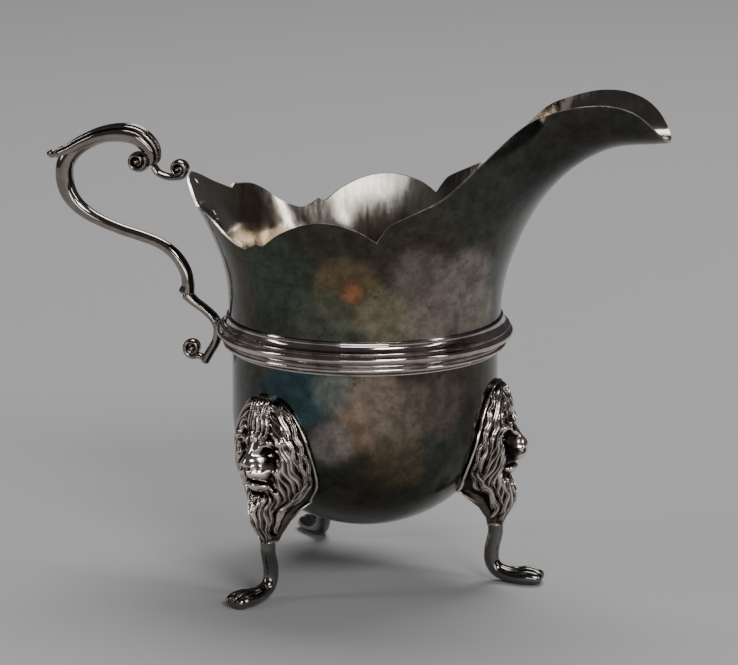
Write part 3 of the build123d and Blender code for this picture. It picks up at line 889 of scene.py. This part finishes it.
leaf = swept_piece("leaf_blade", leaf_line, 96, 9, leaf_flutes, 0.36)
leaf_eye = behind(24.3, 44.7)
volute = swept_piece("leaf_volute", spiral(leaf_eye, (2.45, 1.0), (30, -430), 16, (0.95, 0.6), (2.5, 2.9)))
leaf = joined("handle_leaf_ribbed", leaf, volute, boss("leaf_boss", leaf_eye, 1.1, 3.3))
hand_over(leaf, "handle_leaf", "handle_silver", silver_handle)

# %% rim scroll, bracket and its curl
rim_eye = behind(13.8, 43.0)
rim_curl = [(*behind(20.3, 43.2), 0.8, 1.9), (*behind(19.1, 41.7), 0.85, 1.9), (*behind(16.6, 40.8), 0.9, 1.9)]
rim_curl += spiral(rim_eye, (2.1, 0.9), (-90, 400), 16, (0.85, 0.55), (1.9, 2.15))
rim_scroll = joined("rim_curl", swept_piece("rim_strip", rim_curl), boss("rim_boss", rim_eye, 0.95, 2.25))
hand_over(rim_scroll, "rim_scroll", "handle_silver", silver_handle)

bracket = swept_piece("bracket_strip", [
    (*behind(12.2, 11.1), 1.6, 2.0), (*behind(10.2, 9.2), 1.25, 2.0), (*behind(7.6, 7.4), 1.15, 2.0),
    (*behind(5.0, 5.0), 1.2, 2.1), (*behind(4.05, 2.4), 1.2, 2.0), (*behind(4.6, -0.8), 1.15, 1.9),
    (*behind(6.3, -3.8), 1.15, 1.8), (*behind(7.6, -6.2), 1.1, 1.6),
])
hand_over(bracket, "handle_bracket", "handle_silver", silver_handle)

curl_eye = behind(10.7, -2.8)
snail_line = [(*behind(7.0, -4.6), 0.65, 1.3), (*behind(8.3, -5.0), 0.75, 1.4)]
snail_line += spiral(curl_eye, (2.25, 0.9), (-60, -520), 16, (0.85, 0.55), (1.5, 1.85))
curl = joined("bracket_snail", swept_piece("snail_strip", snail_line), boss("snail_boss", curl_eye, 0.95, 2.1))
hand_over(curl, "bracket_curl", "handle_silver", silver_handle)

# %% [markdown]
# ## Legs with paws
# Each leg is a round shank that bends outwards at the table into a paw. The paw is flat below, and three grooves
# over its top and front part the toes.

# %% leg
shank = 1.9
leg_line = [
    (BOWL_RADIUS + 0.4, 14.9, shank, shank), (BOWL_RADIUS + 0.4, 13.7, shank, shank),
    (BOWL_RADIUS + 0.4, 12.5, shank, shank), (BOWL_RADIUS, 10.7, shank, shank),
    (BOWL_RADIUS - 0.5, 8.0, shank, shank), (BOWL_RADIUS - 0.4, 5.2, shank, shank),
    (BOWL_RADIUS + 0.9, 3.1, shank, shank + 0.1), (BOWL_RADIUS + 3.4, 2.1, shank, shank + 0.5),
    (BOWL_RADIUS + 6.2, 1.8, 2.1, 3.2), (BOWL_RADIUS + 8.8, 1.9, 2.3, 3.5),
    (BOWL_RADIUS + 11.3, 1.6, 2.0, 3.2), (BOWL_RADIUS + 12.3, 1.2, 1.2, 2.5),
]


def toes(t, turn):
    """Three grooves over the top of the paw, deeper towards its end."""
    across = np.sin(turn)
    groove = sum(np.exp(-((across - place) / 0.075) ** 2) for place in (-0.52, 0.0, 0.52))
    return 0.38 * groove * soft_step(t, 0.62, 0.86) + 0.10 * groove * soft_step(t, 0.45, 0.62)


def place_angle(node):
    """Where the node stands round the axis."""
    low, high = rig.box(node)
    middle = (low + high) / 2
    return atan2(middle.y, middle.x) if abs(middle.y) > MM else 0.0


sides = ("front", "left", "right")
angles = {side: place_angle("leg_" + side) for side in sides}
print({side: round(degrees(angle), 1) for side, angle in angles.items()})
leg_rings, leg_hollow = swept_grid(leg_line, 72, 10, toes)
leg_rings[:, :, 2] = np.maximum(leg_rings[:, :, 2], 0)   # the sole is flat on the table
for side in sides:
    leg = grid_piece("paw_leg_" + side, turned(leg_rings, angles[side]))
    hollow_attribute(leg, leg_hollow / 0.35)
    close_seams(leg)
    shade(leg, 55)
    hand_over(leg, "leg_" + side, "leg_silver", silver_leg)

# %% [markdown]
# ## Lion masks
# The masks are hollow castings, chased after casting: a face with heavy brows, a broad nose and a short muzzle,
# and a mane whose locks part over the forehead, sweep round the cheeks and meet in a long beard. The sculpting
# starts from a plain shield of oval sections. Soft lumps and hollows make the face. Every lock of hair is a
# tapered ridge along its own wavy line, and where two locks meet, the higher one wins, which leaves the sharp
# valley that a chasing tool leaves. The relief is kept on a fine grid, rise by width.

# %% shield of oval sections
MASK_SECTIONS = np.array([
    # rise above the bowl's bottom, half width, relief beyond the wall
    (0.9, 2.2, 2.3), (3.2, 3.7, 2.9), (6.1, 4.8, 4.5), (8.9, 5.7, 5.0), (11.5, 7.6, 4.4),
    (15.3, 11.2, 3.4), (19.5, 12.6, 3.8), (24.0, 12.5, 3.8), (28.5, 11.5, 3.6), (33.0, 9.1, 3.2),
    (36.0, 6.3, 2.6), (37.4, 3.9, 1.7), (37.8, 2.2, 1.1),
])
MASK_ROWS, MASK_COLUMNS = 210, 150
shield = smooth_line(MASK_SECTIONS, 20)
rise = np.linspace(0.9, 37.75, MASK_ROWS)
half_width, relief = (np.interp(rise, shield[:, 0], shield[:, i]) for i in (1, 2))


def bowl_radius_at(z):
    below = np.clip((SHOULDER - z) / ROUND_DEPTH, 0, 1)
    return BOWL_RADIUS * np.sqrt(np.clip(1 - below**2, 0, 1))


level = BOWL_BOTTOM + rise
wall_here = bowl_radius_at(level)
back_depth = np.interp(rise, [0.9, 3.2, 6.1, 8.9, 11.5, 15.3, 24.0, 28.5, 33.0, 37.8],
                       [1.3, 1.4, 3.1, 6.6, 10.0, 11.0, 11.0, 9.0, 7.0, 3.0])
flank = np.maximum(BOWL_RADIUS - back_depth, np.sqrt(np.clip(wall_here**2 - half_width**2, 1, None))) + 0.5
reach = BOWL_RADIUS + relief - flank
turn = np.linspace(-pi / 2, pi / 2, MASK_COLUMNS)
face_x = flank[:, None] + reach[:, None] * np.cos(turn)
face_y = half_width[:, None] * np.sin(turn)
step_length = np.hypot(np.diff(face_x, axis=1), np.diff(face_y, axis=1))
along = np.concatenate([np.zeros((MASK_ROWS, 1)), np.cumsum(step_length, 1)], 1)
width = along - along[:, -1:] / 2          # distance from the middle of the face, round the front
height = np.repeat(rise[:, None], MASK_COLUMNS, 1)
print(f"shield {width.max() * 2:.1f} mm round the front")


# %% face: lumps and hollows
def lump(at, size, tall, power=2.0):
    """A soft lump on both sides of the face, or in the middle where its place across is 0."""
    across = np.abs(width) - at[0]
    return tall * np.exp(-(np.abs(across / size[0]) ** power + np.abs((height - at[1]) / size[1]) ** power))


def stroke(points, half, tall, sharp=2.0):
    """A ridge, or a groove where it is less than 0 tall, along a line on both sides of the face."""
    line = smooth_line(points, 8)
    gap = np.full(width.shape, 99.0)
    for a, b in zip(line, line[1:]):
        run = b - a
        t = np.clip(((np.abs(width) - a[0]) * run[0] + (height - a[1]) * run[1]) / (run @ run + 1e-9), 0, 1)
        gap = np.minimum(gap, np.hypot(np.abs(width) - a[0] - t * run[0], height - a[1] - t * run[1]))
    return tall * np.exp(-np.abs(gap / half) ** sharp)


# rise and height of the profile: beard, open mouth, muzzle, nose, bridge, brow and forehead
middle_line = np.array([
    (0.9, 0), (12.6, 0), (13.9, -0.4), (14.6, 1.6), (16.2, 3.0), (17.3, 2.4), (17.9, 3.0), (19.2, 4.2),
    (21.4, 4.7), (23.2, 4.4), (24.4, 3.5), (26.0, 2.5), (28.0, 1.6), (29.6, 0.3), (31.5, 0.4), (37.8, 0),
])
profile = np.interp(height, middle_line[:, 0], middle_line[:, 1])
snout_width = np.interp(height, [13.5, 16.0, 18.5, 21.5, 24.0, 26.5, 30], [2.6, 3.4, 4.3, 3.6, 2.3, 2.0, 2.2])
face = profile * np.exp(-np.abs(width / snout_width) ** 2.6)
raised = (
    # muzzle, nose and nostrils
    lump((2.3, 19.3), (1.9, 1.7), 0.9) + lump((0, 22.2), (1.9, 1.1), 0.5) + lump((2.1, 21.7), (0.9, 0.8), 0.55)
    # cheeks, brows and the inner ends of the brows
    + lump((5.6, 20.4), (2.2, 2.4), 1.1) + lump((5.2, 27.3), (2.6, 1.0), 1.5) + lump((2.6, 26.8), (1.0, 1.2), 0.9)
    # eyes with their lids
    + lump((4.4, 24.4), (0.9, 0.5), 0.55) + stroke([(1.6, 25.2), (3.6, 26.3), (6.6, 25.4)], 0.55, 0.75)
    + stroke([(3.0, 24.2), (4.4, 23.8), (6.0, 24.6)], 0.28, 0.4)
    # lower lip
    + stroke([(0, 15.2), (2.0, 15.5), (3.3, 16.3)], 0.7, 0.5)
)
carved = (
    # eye sockets, nostrils and the hollows beside the nose
    stroke([(2.8, 24.2), (4.2, 24.6), (6.0, 24.1)], 0.55, 0.35) + lump((1.2, 20.9), (0.5, 0.45), 0.9)
    + lump((3.4, 22.6), (0.9, 1.0), 0.3) + stroke([(1.5, 24.2), (2.6, 22.4), (3.4, 20.6)], 0.4, 0.35)
    # mouth and the line from nose to lip
    + stroke([(0, 17.4), (2.0, 17.2), (3.9, 16.4), (5.2, 15.2)], 0.42, 1.5)
    + stroke([(0, 18.2), (0, 20.8)], 0.25, 0.6)
)
face += raised - carved

# %% hair: every lock has its own line
WAVE_LENGTH, SWING, STRAIGHT_SWING = 5.6, 0.30, 0.075
locks = [
    # width on the face and rise of each point of the line, half width and height of the lock
    ([(0.55, 27.6), (0.7, 30.5), (0.55, 33.6), (0.6, 37.0)], 0.75, 1.3),
    ([(1.7, 28.2), (2.0, 31.0), (1.6, 34.0), (1.7, 37.2)], 0.75, 1.1),
    ([(2.4, 27.6), (3.3, 30.2), (2.9, 33.4), (3.3, 36.6)], 0.75, 1.0),
    ([(3.0, 36.0), (5.4, 34.8), (7.4, 32.2), (9.0, 29.6), (10.2, 26.2)], 0.95, 1.0),
    ([(3.6, 33.8), (5.6, 32.8), (7.6, 30.2), (9.4, 27.2), (11.0, 23.2), (11.6, 20.0)], 0.95, 1.1),
    ([(3.4, 31.6), (5.4, 31.2), (7.2, 28.9), (8.8, 25.8), (10.4, 21.6), (11.8, 17.8)], 1.0, 1.2),
    ([(3.2, 29.6), (5.0, 29.8), (6.8, 28.1), (8.2, 25.2), (9.4, 21.4), (10.8, 17.4), (11.4, 14.6)], 1.0, 1.3),
    ([(6.2, 26.6), (7.4, 24.6), (8.2, 21.6), (9.2, 18.4), (10.0, 15.4), (10.2, 13.0)], 0.95, 1.3),
    ([(6.4, 24.2), (7.2, 21.8), (7.6, 18.8), (8.4, 15.8), (8.8, 13.0), (8.0, 11.2)], 0.95, 1.2),
    ([(6.2, 20.2), (6.6, 17.8), (7.2, 15.0), (7.2, 12.4), (6.0, 9.8)], 0.9, 1.2),
    ([(5.2, 18.2), (5.6, 15.6), (5.9, 13.0), (5.4, 10.2), (4.4, 7.8)], 0.85, 1.2),
    ([(11.2, 25.6), (12.4, 22.4), (12.9, 18.8), (12.4, 15.6)], 0.8, 0.8),
    ([(12.6, 26.2), (13.9, 22.6), (14.4, 19.0), (13.9, 16.0)], 0.8, 0.6),
    ([(8.6, 33.0), (10.6, 30.2), (12.2, 26.4), (13.2, 22.0)], 0.8, 0.7),
    ([(5.6, 36.0), (7.6, 34.4), (9.6, 31.6)], 0.8, 0.6),
    ([(13.2, 17.6), (11.6, 14.6), (9.0, 11.8), (7.0, 8.8), (5.6, 5.6)], 0.85, 1.0),
    ([(12.0, 16.4), (9.8, 13.2), (7.6, 10.4), (6.0, 7.4), (4.4, 3.8)], 0.85, 1.1),
    ([(14.4, 17.2), (12.6, 14.0), (10.4, 11.4), (8.4, 9.2)], 0.7, 0.7),
    ([(0.5, 13.4), (0.9, 11.0), (0.4, 8.2), (0.7, 5.2), (0.4, 0.6)], 0.75, 1.2),
    ([(1.8, 13.9), (2.4, 11.4), (1.8, 8.6), (1.9, 5.6), (1.1, 1.4)], 0.8, 1.1),
    ([(3.2, 14.3), (3.9, 12.0), (3.3, 9.4), (3.1, 6.6), (2.0, 2.4)], 0.8, 1.1),
    ([(4.3, 15.0), (4.9, 12.8), (4.6, 10.6), (4.4, 8.4), (3.4, 4.4)], 0.8, 1.0),
]


def lock_ridge(points, half, tall, side, start, swing):
    """Height of one lock: full in its middle, thin at its ends, wavy, with fine lines along it."""
    line = smooth_line(points, 8)
    line[:, 0] *= side
    ran = np.concatenate([[0], np.cumsum(np.hypot(*np.diff(line, axis=0).T))])
    sway = swing * np.sin(2 * pi * ran / WAVE_LENGTH + start)
    ahead_x, ahead_z = np.gradient(line, axis=0).T
    size = np.hypot(ahead_x, ahead_z) + 1e-9
    line = line + np.stack([-ahead_z, ahead_x], 1) * (sway / size)[:, None]
    best, where, off = np.full(width.shape, 99.0), np.zeros(width.shape), np.zeros(width.shape)
    for i, (a, b) in enumerate(zip(line, line[1:])):
        run = b - a
        t = np.clip(((width - a[0]) * run[0] + (height - a[1]) * run[1]) / (run @ run + 1e-9), 0, 1)
        dx, dz = width - a[0] - t * run[0], height - a[1] - t * run[1]
        gap = np.hypot(dx, dz)
        closer = gap < best
        best = np.where(closer, gap, best)
        where = np.where(closer, (i + t) / (len(line) - 1), where)
        off = np.where(closer, np.sign(run[0] * dz - run[1] * dx) * gap, off)
    taper = np.clip(np.sin(pi * (0.07 + 0.88 * where)), 0, 1) ** 0.5
    share = best / (half * (0.35 + 0.65 * taper))
    body_height = tall * taper * np.sqrt(np.clip(1 - share**2, 0, 1))
    lines = 0.15 * np.cos(off / half * 3 * pi) * (share < 1)
    return np.where(share < 1, body_height + lines, 0)


rng = np.random.default_rng(7)
hair = np.zeros(width.shape)
for points, half, tall in locks:
    forelock = points[0][0] < 3.2 and points[0][1] > 27
    swing = STRAIGHT_SWING if forelock else SWING
    for side in (-1, 1):
        hair = np.maximum(hair, lock_ridge(points, half, tall, side, rng.uniform(0, 2 * pi), swing))
# no hair on the nose, the muzzle and the eyes
bare = (lump((0, 22.2), (4.6, 4.6), 1.0, 4.0) + lump((0, 17.6), (4.2, 2.6), 1.0, 4.0)
        + lump((4.7, 25.0), (2.0, 1.5), 0.9, 4.0))
hair *= 1 - np.clip(bare, 0, 1)
edge = soft_step(np.abs(width), along[:, -1:] / 2 - 0.9, along[:, -1:] / 2 - 0.35) * soft_step(height, 6, 11)
top_edge = soft_step(height, 36.6, 37.6)
sculpted = (face + hair - 0.45) * (1 - edge) * (1 - top_edge) + 0.25 * edge
sculpted *= soft_step(height, 0.9, 2.0) * 0.85 + 0.15


# %% how deep each point lies compared with its neighbours
def blurred(field, count):
    """The field averaged over its neighbours, that many on each side."""
    for axis in (0, 1):
        padded = np.concatenate([np.take(field, [0] * count, axis), field,
                                 np.take(field, [-1] * count, axis)], axis)
        total = np.cumsum(padded, axis)
        ahead_sum = np.take(total, range(2 * count, total.shape[axis]), axis)
        behind_sum = np.take(total, range(0, total.shape[axis] - 2 * count), axis)
        field = (ahead_sum - behind_sum) / (2 * count)
    return field


smooth_level = blurred(blurred(sculpted, 5), 5)
sunk = np.clip(0.56 + (smooth_level - sculpted) / 0.5, 0, 1)

# %% masks
normal_x, normal_y = np.cos(turn)[None, :] / reach[:, None], np.sin(turn)[None, :] / half_width[:, None]
size = np.hypot(normal_x, normal_y)
# the face stands out along the spout's direction more than the mane does
forward = np.exp(-((width / 6.0) ** 2))
push_x = sculpted * (forward + (1 - forward) * normal_x / size)
push_y = sculpted * (1 - forward) * normal_y / size
front = np.stack([face_x + push_x, face_y + push_y, np.repeat(level[:, None], MASK_COLUMNS, 1)], -1)
rear_share = np.linspace(1, -1, 26)[None, 1:-1]
rear_y = half_width[:, None] * rear_share
rear_x = np.maximum((BOWL_RADIUS - back_depth)[:, None] + 0 * rear_share,
                    np.sqrt(np.clip((wall_here[:, None] - 0.35) ** 2 - rear_y**2, 0, None)))
rear = np.stack([rear_x, rear_y, np.repeat(level[:, None], rear_y.shape[1], 1)], -1)
ring = np.concatenate([front, rear, front[:, :1]], 1)
ring_sunk = np.concatenate([sunk, np.full(rear_y.shape, 0.6), sunk[:, :1]], 1)
caps = [np.repeat(end[:-1].mean(0)[None, :], ring.shape[1], 0)[None] for end in (ring[0], ring[-1])]
mask_grid = np.concatenate([caps[0], ring, caps[1]])
mask_sunk = np.concatenate([ring_sunk[:1], ring_sunk, ring_sunk[-1:]])
for side in sides:
    mask = grid_piece("lion_mask_chased_" + side, turned(mask_grid, angles[side]))
    hollow_attribute(mask, mask_sunk)
    close_seams(mask, 0.001)
    shade(mask, 75)
    hand_over(mask, "lion_mask_" + side, "mask_silver", silver_mask)

# %% size of the finished model
with open("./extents.json", "w") as file:
    json.dump({"cad": [[float(c) for c in corner] for corner in cad_box],
               "visual": [[float(c) for c in corner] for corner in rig.bounds()]}, file)
print(open("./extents.json").read())
